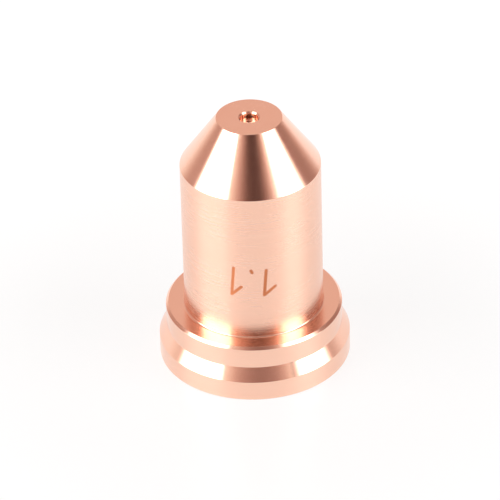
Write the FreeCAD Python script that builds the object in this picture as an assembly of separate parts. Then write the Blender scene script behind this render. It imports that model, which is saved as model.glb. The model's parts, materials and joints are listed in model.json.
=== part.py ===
"""Plasma cutting torch nozzle, turned from one piece of copper bar.

The nozzle stands on its base face. The origin is the centre of that face and +Z runs along the
turning axis to the nose, where the jet comes out. All sizes are in millimetres.

Outside, from the base up: a base land, a bevel in to the clamping flange, the flange with a
chamfered rim, the long plain body, and a straight taper to the flat nose.
Inside, from the nose down: an exit recess, the jet orifice, a taper that opens into the electrode
chamber, and at the base a wider seat for the swirl ring, with a lead-in chamfer.
The whole part is one section, turned through a full circle.
"""

import math
import os

import FreeCAD
import Part

# ---- outside sizes ----
base_d = 22.0  # base land, which centres the nozzle in its retaining cup
base_land_h = 2.3  # straight height of the base land, above its edge break
bevel_h = 1.55  # height of the bevel from the base land in to the flange
flange_d = 20.3  # clamping flange
flange_land_h = 2.35  # straight height of the flange's rim
flange_chamfer = 0.3  # chamfer on the flange's top edge
body_d = 16.0  # long plain body, which the shield cap slides over
body_h = 18.5  # from the flange's top face to the start of the nose taper
nose_d = 7.5  # flat face at the nose
nose_h = 6.1  # height of the nose taper
edge_break = 0.12  # 45 degree edge break on the base's outer edge
corner_fillet = 0.2  # tool radius left where the body meets the flange

# ---- inside sizes ----
orifice_d = 1.1  # jet orifice
orifice_length = 3.0  # straight length of the orifice
orifice_chamfer = 0.1  # chamfer at the orifice's mouth, in the recess's floor
exit_recess_d = 2.1  # round recess at the mouth of the orifice
exit_recess_depth = 1.08  # from the nose face to the recess's floor
exit_chamfer = 0.17  # chamfer on the recess's outer edge
chamber_d = 12.0  # chamber round the electrode
chamber_taper_deg = 45.0  # slope of the chamber's end, from the axis
chamber_end_fillet = 1.0  # radius between the chamber's wall and its tapered end
throat_d = 3.0  # where the chamber's taper ends and the steeper throat begins
throat_h = 1.2  # height of the throat cone, from the orifice to the chamber's taper
seat_d = 16.0  # seat for the swirl ring, at the base
seat_depth = 3.6  # from the base face to the seat's floor
seat_chamfer = 0.5  # lead-in chamfer at the seat's mouth

# ---- radii ----
base_r = base_d / 2
flange_r = flange_d / 2
body_r = body_d / 2
nose_r = nose_d / 2
orifice_r = orifice_d / 2
recess_r = exit_recess_d / 2
chamber_r = chamber_d / 2
throat_r = throat_d / 2
seat_r = seat_d / 2

# ---- heights above the base face, each from the sizes below it ----
base_land_top_z = edge_break + base_land_h
bevel_top_z = base_land_top_z + bevel_h
flange_rim_z = bevel_top_z + flange_land_h
flange_top_z = flange_rim_z + flange_chamfer
body_top_z = flange_top_z + body_h
nose_z = body_top_z + nose_h

# ---- heights inside, measured down from the nose face ----
recess_floor_z = nose_z - exit_recess_depth
orifice_mouth_z = recess_floor_z - orifice_chamfer
orifice_foot_z = orifice_mouth_z - orifice_length
throat_foot_z = orifice_foot_z - throat_h
taper_h = (chamber_r - throat_r) / math.tan(math.radians(chamber_taper_deg))
chamber_end_z = throat_foot_z - taper_h

AXIS = FreeCAD.Vector(0, 0, 1)
ORIGIN = FreeCAD.Vector(0, 0, 0)


def at(radius, height):
    """A point of the section, on the +X side of the turning axis."""
    return FreeCAD.Vector(radius, 0, height)


def corner_arc(before, corner, after, radius):
    """The arc of that radius that rounds a corner, as its first, middle and last points."""
    back = (before - corner).normalize()
    ahead = (after - corner).normalize()
    half_angle = back.getAngle(ahead) / 2
    tangent_length = radius / math.tan(half_angle)
    inward = (back + ahead).normalize()
    centre = corner + inward * (radius / math.sin(half_angle))
    middle = centre - inward * radius
    return corner + back * tangent_length, middle, corner + ahead * tangent_length


def section_edges(corners):
    """Straight and round edges of a closed outline, from (point, corner radius) pairs in order."""
    count = len(corners)
    arcs = []
    for index, (point, radius) in enumerate(corners):
        before = corners[index - 1][0]
        after = corners[(index + 1) % count][0]
        arcs.append(corner_arc(before, point, after, radius) if radius else (point, None, point))
    edges = []
    for index, (start, middle, end) in enumerate(arcs):
        if middle is not None:
            edges.append(Part.Arc(start, middle, end).toShape())
        edges.append(Part.LineSegment(end, arcs[(index + 1) % count][0]).toShape())
    return edges


def outer_corners():
    """Corners of the outside, from the base face up to the nose face."""
    return [
        (at(base_r - edge_break, 0), 0),
        (at(base_r, edge_break), 0),
        (at(base_r, base_land_top_z), 0),
        (at(flange_r, bevel_top_z), 0),
        (at(flange_r, flange_rim_z), 0),
        (at(flange_r - flange_chamfer, flange_top_z), 0),
        (at(body_r, flange_top_z), corner_fillet),
        (at(body_r, body_top_z), 0),
        (at(nose_r, nose_z), 0),
    ]


def inner_corners():
    """Corners of the bore, from the nose face down to the base face."""
    return [
        (at(recess_r + exit_chamfer, nose_z), 0),
        (at(recess_r, nose_z - exit_chamfer), 0),
        (at(recess_r, recess_floor_z), 0),
        (at(orifice_r + orifice_chamfer, recess_floor_z), 0),
        (at(orifice_r, orifice_mouth_z), 0),
        (at(orifice_r, orifice_foot_z), 0),
        (at(throat_r, throat_foot_z), 0),
        (at(chamber_r, chamber_end_z), chamber_end_fillet),
        (at(chamber_r, seat_depth), 0),
        (at(seat_r, seat_depth), 0),
        (at(seat_r, seat_chamfer), 0),
        (at(seat_r + seat_chamfer, 0), 0),
    ]


def make_nozzle():
    """The section, turned once round the axis."""
    outline = Part.Wire(section_edges(outer_corners() + inner_corners()))
    turned = Part.Face(outline).revolve(ORIGIN, AXIS, 360)
    return turned if turned.ShapeType == "Solid" else Part.Solid(turned)


def main():
    os.makedirs("parts", exist_ok=True)
    nozzle = make_nozzle()
    nozzle.exportStep("parts/nozzle.step")
    print(f"nozzle: {nozzle.Volume:.1f} mm3, valid {nozzle.isValid()}, {nozzle.BoundBox}")


main()
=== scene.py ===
"""Plasma torch nozzle: one turned copper piece, standing on a white table between two softboxes.

The nozzle is one surface: its section, with every edge rounded, turned round the axis. The
section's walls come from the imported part's mounts. The bore-size mark, "1.1", is cut into the body
by a laser, as shallow grooves with a heat tint. The copper shows the lathe's fine lines.
Lengths are in metres, so sizes given in millimetres are multiplied by MM.
"""

import json
import math

import bpy
import numpy as np
from mathutils import Matrix, Quaternion, Vector


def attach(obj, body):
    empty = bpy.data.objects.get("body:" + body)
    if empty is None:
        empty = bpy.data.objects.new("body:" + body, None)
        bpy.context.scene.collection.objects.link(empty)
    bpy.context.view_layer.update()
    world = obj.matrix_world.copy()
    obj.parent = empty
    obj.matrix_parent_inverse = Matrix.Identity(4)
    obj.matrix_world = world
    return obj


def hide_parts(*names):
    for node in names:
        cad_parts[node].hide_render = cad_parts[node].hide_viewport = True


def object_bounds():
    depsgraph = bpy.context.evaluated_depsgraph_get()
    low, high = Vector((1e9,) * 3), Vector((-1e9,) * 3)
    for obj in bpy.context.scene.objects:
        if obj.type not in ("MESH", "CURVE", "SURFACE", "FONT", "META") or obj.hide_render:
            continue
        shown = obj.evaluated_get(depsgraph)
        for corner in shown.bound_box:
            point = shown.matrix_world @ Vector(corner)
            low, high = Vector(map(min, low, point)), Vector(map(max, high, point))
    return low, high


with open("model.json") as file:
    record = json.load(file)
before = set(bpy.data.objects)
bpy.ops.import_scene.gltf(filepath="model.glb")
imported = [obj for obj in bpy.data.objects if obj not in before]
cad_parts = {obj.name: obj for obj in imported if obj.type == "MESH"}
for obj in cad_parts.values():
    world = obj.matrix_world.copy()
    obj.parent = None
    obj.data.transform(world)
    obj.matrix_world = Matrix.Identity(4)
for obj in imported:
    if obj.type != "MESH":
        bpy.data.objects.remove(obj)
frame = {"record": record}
cad_low, cad_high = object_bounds()

MM = 0.001
MOUNTS = {mount["name"]: mount for mount in frame["record"]["mounts"]}
SAME_PLACE = 0.001 * MM  # points closer than this are taken as one place

# ---- sizes of the turned shape that no mount states, as in the part's own source ----
flange_chamfer = 0.3 * MM
edge_break = 0.12 * MM
nose_r = 3.75 * MM
recess_r = 1.05 * MM
exit_chamfer = 0.17 * MM
orifice_chamfer = 0.1 * MM
throat_r = 1.5 * MM
throat_h = 1.2 * MM
seat_chamfer = 0.5 * MM

# ---- radii left on the edges and in the corners ----
sharp_edge = 0.03 * MM  # fine edges round the bore and the chamfers
worn_edge = 0.05 * MM  # outer edges, as a new part has them
tool_corner = 0.10 * MM  # inner corners, the tip of the turning tool
body_corner = 0.20 * MM  # corner between the body and the flange
chamber_corner = 1.0 * MM  # corner between the chamber's wall and its taper

# ---- how finely the surface is divided ----
ARC_STEPS = 4  # stretches in each rounded edge
EDGE_GAP = 0.02 * MM  # a row of points this far from each rounding keeps the plain stretch flat
COARSE_COLUMNS = 250  # columns round the part, outside the mark
MARK_STEP = 0.05 * MM  # spacing of rows and columns in the mark

# ---- the mark: points in millimetres, (along the body's curve, height above the base) ----
left_digit = ((-2.23, 16.04), (-2.52, 12.45), (-1.40, 13.54))  # foot, head, tip of the flag
right_digit = ((1.47, 15.71), (1.20, 12.38), (2.48, 13.38))
decimal_point = ((-0.25, 15.77), (-0.14, 15.50))
mark_half_width = 3.0 * MM  # of the finely divided zone
mark_foot_z = 11.9 * MM
mark_head_z = 16.5 * MM
stroke_width = 0.36 * MM
stroke_edge = 0.12 * MM  # over which a stroke fades
stroke_depth = 0.008 * MM

# ---- the copper's finish: roughness runs from 0 for a mirror to 1 for chalk ----
DEEP_COPPER = (0.955, 0.596, 0.456, 1)
PALE_COPPER = (0.955, 0.606, 0.466, 1)
TONE_EDGES = (0.35, 0.65)  # of the noise over which the copper goes from deep to pale
HEAT_TINT = (0.70, 0.235, 0.095, 1)  # oxide that the laser leaves in the mark
TINT_SHARE = 0.92
PLAIN_ROUGHNESS = 0.16
LINE_ROUGHNESS = 0.03  # more on the lathe's lines
SMUDGE_ROUGHNESS = 0.03  # more where the part was handled
BODY_ROUGHNESS = 0.08  # more on the body, which has coarser lines than the taper
MARK_ROUGHNESS = 0.25  # more in the mark
LINE_HEIGHT = 0.0012  # of the lathe's lines, in millimetres
LINE_STRETCH = 0.7  # how much further a reflection blurs along the section than round the part
QUARTER_TURN = 0.25  # sets that blur along the section
SMUDGE_SCALE = 260.0

# ---- camera ----
CAMERA_TILT = math.radians(33.66)  # above the table
CAMERA_ROLL = math.radians(-1.59)
CAMERA_DISTANCE = 0.5244
CAMERA_LENS = 330.7
ORBIT_CENTRE = Vector((0, 0, 0.015))
AIM = Vector((-0.00030, -0.00080, 0.01379))


def wall(name):
    """Radius, lowest and highest height of the straight round wall that a bore or pin mount states."""
    mount = MOUNTS[name]
    half_length = mount["dims"]["length_mm"] * MM / 2
    middle = mount["pos_m"][2]
    return mount["dims"]["r_mm"] * MM, middle - half_length, middle + half_length


def section_corners():
    """Corners of the section as (radius, height, rounding), up the outside and down the bore."""
    top = cad_high.z
    shoulder = MOUNTS["flange_shoulder"]["pos_m"][2]
    base_r, base_foot, base_top = wall("base_land")
    flange_r, flange_foot, flange_top = wall("flange_rim")
    body_r, _, body_top = wall("body_outside")
    orifice_r, orifice_foot, orifice_mouth = wall("jet_orifice")
    chamber_r, seat_floor, _ = wall("electrode_chamber")
    seat_r, seat_mouth, _ = wall("swirl_ring_seat")
    recess_floor = orifice_mouth + orifice_chamfer
    throat_foot = orifice_foot - throat_h
    chamber_end = throat_foot - (chamber_r - throat_r)  # the taper runs at 45 degrees
    outside = [
        (base_r - edge_break, 0, sharp_edge),
        (base_r, base_foot, sharp_edge),
        (base_r, base_top, worn_edge),
        (flange_r, flange_foot, tool_corner),
        (flange_r, flange_top, sharp_edge),
        (flange_r - flange_chamfer, shoulder, sharp_edge),
        (body_r, shoulder, body_corner),
        (body_r, body_top, worn_edge),
        (nose_r, top, sharp_edge),
    ]
    bore = [
        (recess_r + exit_chamfer, top, sharp_edge),
        (recess_r, top - exit_chamfer, sharp_edge),
        (recess_r, recess_floor, tool_corner),
        (orifice_r + orifice_chamfer, recess_floor, sharp_edge),
        (orifice_r, orifice_mouth, sharp_edge),
        (orifice_r, orifice_foot, sharp_edge),
        (throat_r, throat_foot, worn_edge),
        (chamber_r, chamber_end, chamber_corner),
        (chamber_r, seat_floor, worn_edge),
        (seat_r, seat_floor, tool_corner),
        (seat_r, seat_mouth, worn_edge),
        (seat_r + seat_chamfer, 0, sharp_edge),
    ]
    return np.array(outside + bore)


def rounded(corners):
    """Points of the closed section with each corner rounded.

    An arc leaves the way in at radius * tan(half the turn) before the corner. Its centre stands off
    that point by the radius, to the side of the turn, and the arc's points are that point turned
    about the centre, by equal shares of the turn. One more point lies just off either end.
    """
    points, radius = corners[:, :2], corners[:, 2:]
    onward = np.roll(points, -1, axis=0) - points
    onward /= np.linalg.norm(onward, axis=1, keepdims=True)
    inward = np.roll(onward, 1, axis=0)
    cross = inward[:, 0] * onward[:, 1] - inward[:, 1] * onward[:, 0]
    turn = np.arctan2(cross, (inward * onward).sum(1))[:, None]
    start = points - inward * radius * np.tan(np.abs(turn) / 2)
    left_of_way = np.stack([-inward[:, 1], inward[:, 0]], axis=1)
    centre = start + left_of_way * radius * np.sign(turn)
    spoke = (start - centre)[:, None]
    angle = turn * np.linspace(0, 1, ARC_STEPS + 1)
    cosine, sine = np.cos(angle), np.sin(angle)
    across = spoke[..., 0] * cosine - spoke[..., 1] * sine
    along = spoke[..., 0] * sine + spoke[..., 1] * cosine
    arc = centre[:, None] + np.stack([across, along], axis=-1)
    before = arc[:, :1] - inward[:, None] * EDGE_GAP
    after = arc[:, -1:] + onward[:, None] * EDGE_GAP
    return np.concatenate([before, arc, after], axis=1).reshape(-1, 2)


def with_mark_rows(section):
    """The section with closely spaced points added on the body's wall, where the mark is."""
    body_r = wall("body_outside")[0]
    heights = np.arange(mark_foot_z, mark_head_z, MARK_STEP)
    rows = np.stack([np.full_like(heights, body_r), heights], axis=1)
    on_body = np.isclose(section[:, 0], body_r, atol=SAME_PLACE)
    place = np.flatnonzero(on_body & (section[:, 1] > mark_head_z))[0]
    return np.insert(section, place, rows, axis=0)


def column_angles():
    """Angles from the front (-Y) towards +X, closely spaced across the mark and wider elsewhere."""
    reach = mark_half_width / wall("body_outside")[0]
    fine = round(2 * mark_half_width / MARK_STEP)
    return np.concatenate(
        [
            np.linspace(-reach, reach, fine, endpoint=False),
            np.linspace(reach, math.tau - reach, COARSE_COLUMNS, endpoint=False),
        ]
    )


def smooth(value, low, high):
    """0 below low, 1 above high, and an S curve, 3t^2 - 2t^3, between them."""
    t = np.clip((value - low) / (high - low), 0, 1)
    return t * t * (3 - 2 * t)


def stroke_cover(across, height, start, end):
    """1 inside a straight stroke with round ends, and fading to 0 over its edge.

    It reads the distance from each point to the nearest point of the line from start to end.
    """
    start, end = np.array(start) * MM, np.array(end) * MM
    line = end - start
    share = ((across - start[0]) * line[0] + (height - start[1]) * line[1]) / (line @ line)
    share = np.clip(share, 0, 1)
    away = np.hypot(across - start[0] - share * line[0], height - start[1] - share * line[1])
    half = stroke_width / 2
    return 1 - smooth(away, half - stroke_edge / 2, half + stroke_edge / 2)


def mark_cover(across, height):
    """How much of the mark's strokes covers each point, from 0 to 1: digit, point, digit."""
    strokes = [decimal_point]
    for foot, head, flag_tip in (left_digit, right_digit):
        strokes += [(foot, head), (head, flag_tip)]
    return np.max([stroke_cover(across, height, *stroke) for stroke in strokes], axis=0)


def surface_mesh(name, points, closed_rows, attributes):
    """A mesh from a grid of points whose columns close on themselves, with a value per point."""
    rows, columns = points.shape[:2]
    number = np.arange(rows * columns).reshape(rows, columns)
    number = np.concatenate([number, number[:, :1]], axis=1)
    if closed_rows:
        number = np.concatenate([number, number[:1]], axis=0)
    quads = [number[:-1, :-1], number[:-1, 1:], number[1:, 1:], number[1:, :-1]]
    faces = np.stack(quads, axis=-1).reshape(-1, 4)
    mesh = bpy.data.meshes.new(name)
    mesh.from_pydata(points.reshape(-1, 3).tolist(), [], faces.tolist())
    for label, values in attributes.items():
        layer = mesh.attributes.new(label, "FLOAT", "POINT")
        layer.data.foreach_set("value", values.astype(np.float32).ravel())
    mesh.shade_smooth()
    mesh.update()
    piece = bpy.data.objects.new(name, mesh)
    bpy.context.scene.collection.objects.link(piece)
    return piece


def make_nozzle():
    """The rounded section turned round the axis: (r sin a, -r cos a, z), less the mark's grooves."""
    section = with_mark_rows(rounded(section_corners()))
    angle = column_angles()
    radius = section[:, :1] + 0 * angle
    height = section[:, 1:] + 0 * angle
    body_r = wall("body_outside")[0]
    on_body = np.isclose(radius, body_r, atol=SAME_PLACE)
    wrapped = (angle + math.pi) % math.tau - math.pi
    cover = mark_cover(wrapped * body_r, height) * on_body
    radius = radius - stroke_depth * cover
    points = np.stack([radius * np.sin(angle), -radius * np.cos(angle), height], axis=-1)
    step = np.linalg.norm(np.diff(section, axis=0), axis=1)
    run = np.concatenate([[0], np.cumsum(step)])[:, None] + 0 * angle
    return surface_mesh("nozzle_turned", points, True, {"mark": cover, "run": run / MM})


class Field:
    """A number that varies over a surface: a node's socket, on which operators add Math nodes."""

    def __init__(self, shader, socket):
        self.shader = shader
        self.socket = socket

    def __add__(self, other):
        return self.shader.math("ADD", self, other)

    def __sub__(self, other):
        return self.shader.math("SUBTRACT", self, other)

    def __rsub__(self, other):
        return self.shader.math("SUBTRACT", other, self)

    def __mul__(self, other):
        return self.shader.math("MULTIPLY", self, other)

    __radd__ = __add__
    __rmul__ = __mul__


class Shader:
    """A node tree, with one method that adds any node and sets it up."""

    def __init__(self, tree):
        self.tree = tree
        self.tree.nodes.clear()

    def node(self, kind, settings=None, sockets=None):
        """A node of that type: its settings first, then a value or a link for each socket."""
        made = self.tree.nodes.new(kind)
        for name, value in (settings or {}).items():
            setattr(made, name, value)
        for key, value in (sockets or {}).items():
            source = value.socket if isinstance(value, Field) else value
            if isinstance(source, bpy.types.NodeSocket):
                self.tree.links.new(source, made.inputs[key])
            else:
                made.inputs[key].default_value = source
        return made

    def field(self, kind, settings=None, sockets=None, output=0):
        """One output of a new node, as a value for expressions."""
        return Field(self, self.node(kind, settings, sockets).outputs[output])

    def math(self, operation, *values):
        """One Math node on those values, in order."""
        return self.field("ShaderNodeMath", {"operation": operation}, dict(enumerate(values)))

    def vector(self, operation, *values):
        """One Vector Math node on those vectors, in order."""
        return self.field("ShaderNodeVectorMath", {"operation": operation}, dict(enumerate(values)))

    def scaled(self, vector, factor):
        """A vector times a number."""
        sockets = {0: vector, "Scale": factor}
        return self.field("ShaderNodeVectorMath", {"operation": "SCALE"}, sockets)

    def mix(self, factor, first, second):
        """A colour between two, by a factor from 0 to 1."""
        sockets = {0: factor, 6: first, 7: second}
        return self.field("ShaderNodeMix", {"data_type": "RGBA"}, sockets, output=2)

    def attribute(self, name):
        """A value stored on the mesh's points."""
        return self.field("ShaderNodeAttribute", {"attribute_name": name}, output="Fac")

    def band(self, value, low, high):
        """0 below low, 1 above high and smooth between them."""
        sockets = {0: value, 1: low, 2: high, 3: 0.0, 4: 1.0}
        return self.field("ShaderNodeMapRange", {"interpolation_type": "SMOOTHSTEP"}, sockets)


def new_material(name):
    """A material with a node tree."""
    material = bpy.data.materials.new(name)
    material.use_nodes = True
    return material


def copper():
    """Turned copper: fine lathe lines that blur reflections along the section, and a tinted mark."""
    material = new_material("turned_copper")
    shader = Shader(material.node_tree)
    place = shader.field("ShaderNodeTexCoord", output="Object")
    run = shader.attribute("run")
    mark = shader.attribute("mark")

    # a noise stretched round the part: it reads the direction from the axis and the run of the section
    around = shader.vector("NORMALIZE", shader.vector("MULTIPLY", place, (1, 1, 0)))

    def lines(ring, per_mm, detail):
        """Streaks round the part: noise read on a ring of that radius, so many times per millimetre."""
        along = shader.field("ShaderNodeCombineXYZ", sockets={2: run * per_mm})
        spot = shader.vector("ADD", shader.scaled(around, ring), along)
        sockets = {"Vector": spot, "Scale": 1.0, "Detail": detail, "Roughness": 0.6}
        return shader.field("ShaderNodeTexNoise", sockets=sockets)

    fine = lines(ring=1.2, per_mm=9.0, detail=2.0)
    broad = lines(ring=0.6, per_mm=1.3, detail=1.0)
    smudge_sockets = {"Vector": place, "Scale": SMUDGE_SCALE, "Detail": 3.0}
    smudge = shader.field("ShaderNodeTexNoise", sockets=smudge_sockets)

    # the body's wall alone, from just above the flange to just below the taper
    _, body_foot, body_top = wall("body_outside")
    up = shader.field("ShaderNodeSeparateXYZ", sockets={0: place}, output="Z")
    above_foot = shader.band(up, body_foot, body_foot + 0.2 * MM)
    body = above_foot - shader.band(up, body_top - 0.1 * MM, body_top)

    tone = shader.mix(shader.band(broad * 0.6 + smudge * 0.4, *TONE_EDGES), DEEP_COPPER, PALE_COPPER)
    colour = shader.mix(mark * TINT_SHARE, tone, HEAT_TINT)
    turned = PLAIN_ROUGHNESS + LINE_ROUGHNESS * fine + BODY_ROUGHNESS * body
    roughness = turned + SMUDGE_ROUGHNESS * smudge + MARK_ROUGHNESS * mark
    height = (fine - 0.5) * LINE_HEIGHT
    bump = shader.field("ShaderNodeBump", sockets={"Strength": 1.0, "Distance": MM, "Height": height})
    surface = shader.node("ShaderNodeBsdfPrincipled", sockets={
        "Base Color": colour,
        "Metallic": 1.0,
        "Roughness": roughness,
        "Anisotropic": LINE_STRETCH,
        "Anisotropic Rotation": QUARTER_TURN,
        "Normal": bump,
    })
    shader.node("ShaderNodeOutputMaterial", sockets={"Surface": surface.outputs[0]})
    return material


# ---- the studio: angles in degrees from the nozzle, azimuth from the front (-Y) towards +X ----
WALL_DISTANCE = 1.0
WALL_TOP = 80.0
LAMP_DISTANCE = 0.6
LAMP_LOW, LAMP_HIGH = 3.0, 54.0
LAMP_LEVEL = 2.6  # light from a lamp, where a white surface that reflects all of it counts 1
LAMPS = {"lamp_left": (-66.0, 30.0), "lamp_right": (66.0, 24.0)}  # middle and half width
GLOW = 5.0  # of the softboxes' cloth, as the copper mirrors it
LEFT_EDGES = (-98.0, -90.0, -44.0, -36.0)  # a softbox begins and ends over these azimuths
RIGHT_EDGES = (43.0, 53.0, 79.0, 92.0)
BOX_LOW, BOX_HIGH = (3.0, 9.0), (50.0, 58.0)
LEFT_LEAN, RIGHT_LEAN = 0.0, 0.25  # degrees towards the front for each degree of elevation
LEAN_HEIGHT = 30.0  # the elevation where the edges are as given

# ---- the room that the copper mirrors, in shares of white ----
DARK_PLACE = (7.0, 40.0)  # azimuth and elevation of the darkest place, behind the camera
DARK_WIDTH = 0.7  # the dark place is wider than it is tall, by 1 over this
DARK_EDGE = (6.0, 20.0)  # degrees from the dark place over which it turns dim
DARK_LEVEL, DIM_LEVEL = 0.02, 0.27
SIDE_EDGE = (60.0, 90.0)  # azimuths over which the front turns to the sides
LEFT_LEVEL, LEFT_NEAR_TABLE = 0.38, 0.45  # a side's level, and how much more it has at the table
RIGHT_LEVEL, RIGHT_NEAR_TABLE = 0.25, 0.30
NEAR_TABLE = (2.0, 9.0)  # elevations over which that extra light ends
BACK_EDGE = (122.0, 160.0)  # azimuths over which the sides turn to the back
BACK_LEVEL = 0.63
SPILL = 0.8  # level right beside a softbox
LEFT_SPILL_FALL, RIGHT_SPILL_FALL = 10.0, 8.0  # degrees over which it falls by a factor e
SPILL_LIMIT = 90.0  # azimuth beyond which nothing spills
WARMTH = 1.75
BLUE_SHARE = 0.9  # of green

# ---- the table and the plain light ----
TABLE_HALF = 3.0
TABLE_WHITE = (0.9, 0.9, 0.9, 1)
TABLE_ROUGHNESS = 0.4
TABLE_SHADE = 0.2  # how much of the table's own light and shadow shows near the nozzle
SHADE_EDGE = (20 * MM, 60 * MM)  # distances from the axis over which that ends
LACQUER_IOR = 1.45
BLACK, WHITE = (0, 0, 0, 1), (1, 1, 1, 1)
DAYLIGHT = (0.35, 0.35, 0.35, 1)  # the plain light from everywhere that falls on the table


def softbox_cover(azimuth, elevation, edges, lean):
    """1 on a softbox's cloth and 0 off it, smooth at its edges. Higher up it leans towards the front."""
    azimuth = azimuth + (elevation - LEAN_HEIGHT) * lean
    across = smooth(azimuth, *edges[:2]) * (1 - smooth(azimuth, *edges[2:]))
    return across * smooth(elevation, *BOX_LOW) * (1 - smooth(elevation, *BOX_HIGH))


def wall_colour(azimuth, elevation):
    """Light from the studio's wall: two white softboxes in a warm, dim room.

    The room is dark behind the camera, dim at the sides, and pale at the back. The softboxes spill
    light on the wall beside them, which falls by a factor e for every few degrees from their edge.
    The dimmer a part of the room is, the warmer: its red is 1 - (1 - green) ** WARMTH.
    """
    dark_azimuth, dark_elevation = DARK_PLACE
    across = (azimuth - dark_azimuth) * math.cos(math.radians(dark_elevation))
    away = np.hypot(across * DARK_WIDTH, elevation - dark_elevation)
    room = DARK_LEVEL + (DIM_LEVEL - DARK_LEVEL) * smooth(away, *DARK_EDGE)
    beside = smooth(np.abs(azimuth), *SIDE_EDGE)
    low = 1 - smooth(elevation, *NEAR_TABLE)
    left_side = LEFT_LEVEL + LEFT_NEAR_TABLE * low
    right_side = RIGHT_LEVEL + RIGHT_NEAR_TABLE * low
    room = room * (1 - beside) + np.where(azimuth < 0, left_side, right_side) * beside
    back = smooth(np.abs(azimuth), *BACK_EDGE)
    room = room * (1 - back) + BACK_LEVEL * back
    left_gap = azimuth - LEFT_EDGES[3]
    right_gap = RIGHT_EDGES[0] - azimuth
    left_spill = np.exp(-left_gap / LEFT_SPILL_FALL) * (left_gap > 0)
    right_spill = np.exp(-right_gap / RIGHT_SPILL_FALL) * (right_gap > 0)
    room = room + SPILL * (left_spill + right_spill) * (np.abs(azimuth) < SPILL_LIMIT)
    green = np.minimum(room, 1)[..., None]
    colour = np.concatenate([1 - (1 - green) ** WARMTH, green, BLUE_SHARE * green], axis=-1)
    cover = softbox_cover(azimuth, elevation, LEFT_EDGES, LEFT_LEAN)
    cover = cover + softbox_cover(azimuth, elevation, RIGHT_EDGES, RIGHT_LEAN)
    cover = cover[..., None]
    return colour * (1 - cover) + GLOW * cover


def make_wall():
    """The studio's wall: part of a sphere round the nozzle, seen only in reflections."""
    azimuth = np.arange(-180.0, 180.0, 1.0)
    elevation = np.arange(0.0, WALL_TOP + 1.0, 1.0)[:, None]
    turn, rise = np.radians(azimuth), np.radians(elevation)
    directions = [np.cos(rise) * np.sin(turn), -np.cos(rise) * np.cos(turn), np.sin(rise) + 0 * turn]
    points = WALL_DISTANCE * np.stack(directions, axis=-1)
    wall_piece = surface_mesh("studio_wall", points, False, {})
    colour = wall_colour(azimuth + 0 * elevation, elevation + 0 * azimuth)
    colour = np.concatenate([colour, np.ones_like(colour[..., :1])], axis=-1)
    layer = wall_piece.data.attributes.new("glow", "FLOAT_COLOR", "POINT")
    layer.data.foreach_set("color", colour.astype(np.float32).ravel())
    material = new_material("studio_wall")
    material.cycles.emission_sampling = "NONE"
    shader = Shader(material.node_tree)
    glow = shader.field("ShaderNodeAttribute", {"attribute_name": "glow"}, output="Color")
    light = shader.node("ShaderNodeEmission", sockets={"Color": glow, "Strength": 1.0})
    shader.node("ShaderNodeOutputMaterial", sockets={"Surface": light.outputs[0]})
    wall_piece.data.materials.append(material)
    wall_piece.visible_camera = False
    wall_piece.visible_diffuse = False
    wall_piece.visible_shadow = False


def make_lamp(name, azimuth, half_width):
    """A flat upright lamp that fills those angles. It lights matt surfaces and isn't seen itself."""
    low, high = (LAMP_DISTANCE * math.tan(math.radians(a)) for a in (LAMP_LOW, LAMP_HIGH))
    light = bpy.data.lights.new(name, "AREA")
    light.shape = "RECTANGLE"
    light.size = 2 * LAMP_DISTANCE * math.tan(math.radians(half_width))
    light.size_y = high - low
    light.energy = LAMP_LEVEL * math.pi * light.size * light.size_y
    turn = math.radians(azimuth)
    away = Vector((math.sin(turn), -math.cos(turn), 0))
    up = Vector((0, 0, 1))
    lamp = bpy.data.objects.new(name, light)
    bpy.context.scene.collection.objects.link(lamp)
    turned = Matrix((up.cross(away), up, away)).transposed().to_4x4()
    lamp.matrix_world = Matrix.Translation(away * LAMP_DISTANCE + up * (low + high) / 2) @ turned
    lamp.visible_camera = False
    lamp.visible_glossy = False


def seen(shader):
    """1 for what the camera sees, straight or in a reflection, and 0 for light on a matt surface."""
    path = shader.node("ShaderNodeLightPath")
    rays = [Field(shader, path.outputs[f"Is {kind} Ray"]) for kind in ("Camera", "Glossy", "Transmission")]
    return shader.math("MAXIMUM", shader.math("MAXIMUM", rays[0], rays[1]), rays[2])


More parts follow.
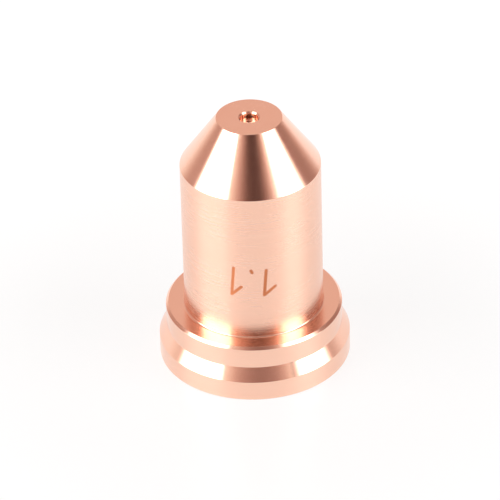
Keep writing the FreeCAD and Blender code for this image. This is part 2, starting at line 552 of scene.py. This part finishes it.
def make_table():
    """A white table with a soft gloss, which turns to plain white away from the nozzle."""
    corners = [(-1, -1), (1, -1), (1, 1), (-1, 1)]
    mesh = bpy.data.meshes.new("table")
    mesh.from_pydata([(x * TABLE_HALF, y * TABLE_HALF, 0) for x, y in corners], [], [(0, 1, 2, 3)])
    table = bpy.data.objects.new("table", mesh)
    bpy.context.scene.collection.objects.link(table)
    material = new_material("white_table")
    shader = Shader(material.node_tree)
    place = shader.field("ShaderNodeTexCoord", output="Object")
    away = shader.field("ShaderNodeVectorMath", {"operation": "LENGTH"}, {0: place}, output="Value")
    plain = (1 - TABLE_SHADE) + TABLE_SHADE * shader.band(away, *SHADE_EDGE)
    share = seen(shader) * plain
    top = shader.node("ShaderNodeBsdfPrincipled", sockets={
        "Base Color": shader.mix(share, TABLE_WHITE, BLACK),
        "Emission Color": shader.mix(share, BLACK, WHITE),
        "Emission Strength": 1.0,
        "Roughness": TABLE_ROUGHNESS,
        "IOR": LACQUER_IOR,
    })
    shader.node("ShaderNodeOutputMaterial", sockets={"Surface": top.outputs[0]})
    mesh.materials.append(material)


def make_world():
    """White wherever it is seen, and a plain grey light on matt surfaces."""
    world = bpy.data.worlds.new("studio")
    world.use_nodes = True
    bpy.context.scene.world = world
    shader = Shader(world.node_tree)
    level = shader.mix(seen(shader), DAYLIGHT, WHITE)
    sky = shader.node("ShaderNodeBackground", sockets={"Color": level, "Strength": 1.0})
    shader.node("ShaderNodeOutputWorld", sockets={"Surface": sky.outputs[0]})


def make_camera():
    """A long lens from the front and above, turned a little about its own line of sight."""
    camera = bpy.data.objects.new("camera", bpy.data.cameras.new("camera"))
    camera.data.lens = CAMERA_LENS
    camera.data.clip_start = 10 * MM
    bpy.context.scene.collection.objects.link(camera)
    back = Vector((0, -math.cos(CAMERA_TILT), math.sin(CAMERA_TILT)))
    camera.location = ORBIT_CENTRE + back * CAMERA_DISTANCE
    sight = (AIM - camera.location).to_track_quat("-Z", "Y")
    camera.rotation_euler = (sight @ Quaternion((0, 0, 1), CAMERA_ROLL)).to_euler()
    bpy.context.scene.camera = camera


def main():
    nozzle = make_nozzle()
    nozzle.data.materials.append(copper())
    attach(nozzle, "root")
    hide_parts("nozzle")
    make_wall()
    for name, (azimuth, half_width) in LAMPS.items():
        make_lamp(name, azimuth, half_width)
    make_table()
    make_world()
    make_camera()
    bpy.context.scene.view_settings.view_transform = "Standard"


main()
